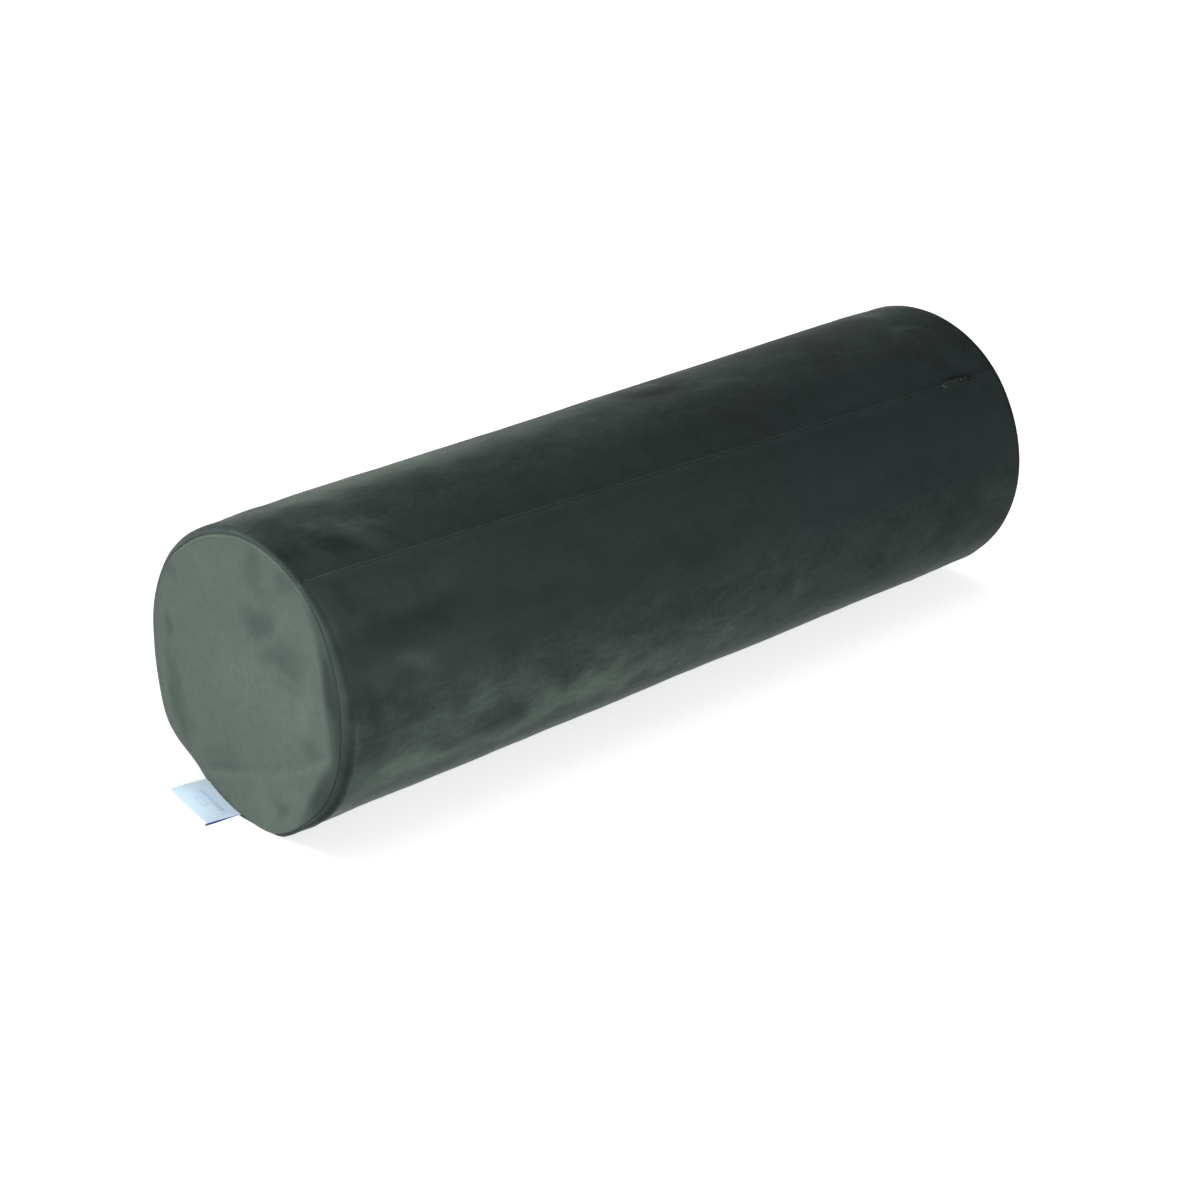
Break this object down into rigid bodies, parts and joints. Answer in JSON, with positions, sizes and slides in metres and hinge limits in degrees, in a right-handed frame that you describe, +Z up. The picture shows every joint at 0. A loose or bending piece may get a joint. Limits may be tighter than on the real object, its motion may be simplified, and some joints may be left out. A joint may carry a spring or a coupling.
{
  "type": "bolster pillow",
  "caption": "Cylindrical bolster: a foam roll in a knitted liner and a zipped dark green velvet cover with a folded satin side label.",
  "frame": {"origin": "on the surface that the bolster lies on, at the middle of the flat strip that its weight presses into it", "axes": "+X along the roll, away from the end with the side label; +Z up; -Y is the front, where the long seam with the zip is"},
  "size_m": [0.5227, 0.154, 0.1531],
  "materials": {
    "velvet": "dark green short-pile velvet",
    "foam": "open-cell polyurethane foam, off-white",
    "liner": "white knitted stockinette",
    "zip_tape": "dark green woven polyester tape",
    "zip_nylon": "dark green nylon coil",
    "zip_metal": "dark green enamelled zinc",
    "thread": "dark green polyester thread",
    "satin": null
  },
  "bodies": {
    "bolster": {"foam_core": "foam", "liner_body": "liner", "liner_end_near": "liner", "liner_end_far": "liner", "cover_body_panel": "velvet", "cover_end_near": "velvet", "cover_end_far": "velvet", "end_seam_thread_near": "thread", "end_seam_thread_far": "thread", "zip_tape_upper": "zip_tape", "zip_tape_lower": "zip_tape", "zip_coil_upper": "zip_nylon", "zip_coil_lower": "zip_nylon", "zip_seam_thread_upper": "thread", "zip_seam_thread_lower": "thread", "zip_top_stop_upper": "zip_metal", "zip_top_stop_lower": "zip_metal", "zip_bottom_stop": "zip_metal"},
    "slider": {"zip_slider": "zip_metal"},
    "pull": {"zip_pull": "zip_metal"},
    "label": {"side_label": "satin"}
  },
  "joints": [
    {"name": "zip_slide", "type": "slide", "parent": "bolster", "child": "slider", "axis": [-0.9994, 0.0254, 0.0218], "range_m": [0, 0.436]},
    {"name": "zip_pull_flip", "type": "hinge", "parent": "slider", "child": "pull", "pos_m": [0.218, -0.05659, 0.13065], "axis": [0.0335, 0.7577, 0.6517], "range_deg": [0, 175]},
    {"name": "label_flap", "type": "hinge", "parent": "bolster", "child": "label", "pos_m": [-0.2503, 0.02287, 0.00568], "axis": [0, 0.9511, 0.309], "range_deg": [-4, 76], "stiffness_Nm_per_rad": 0.0002}
  ]
}
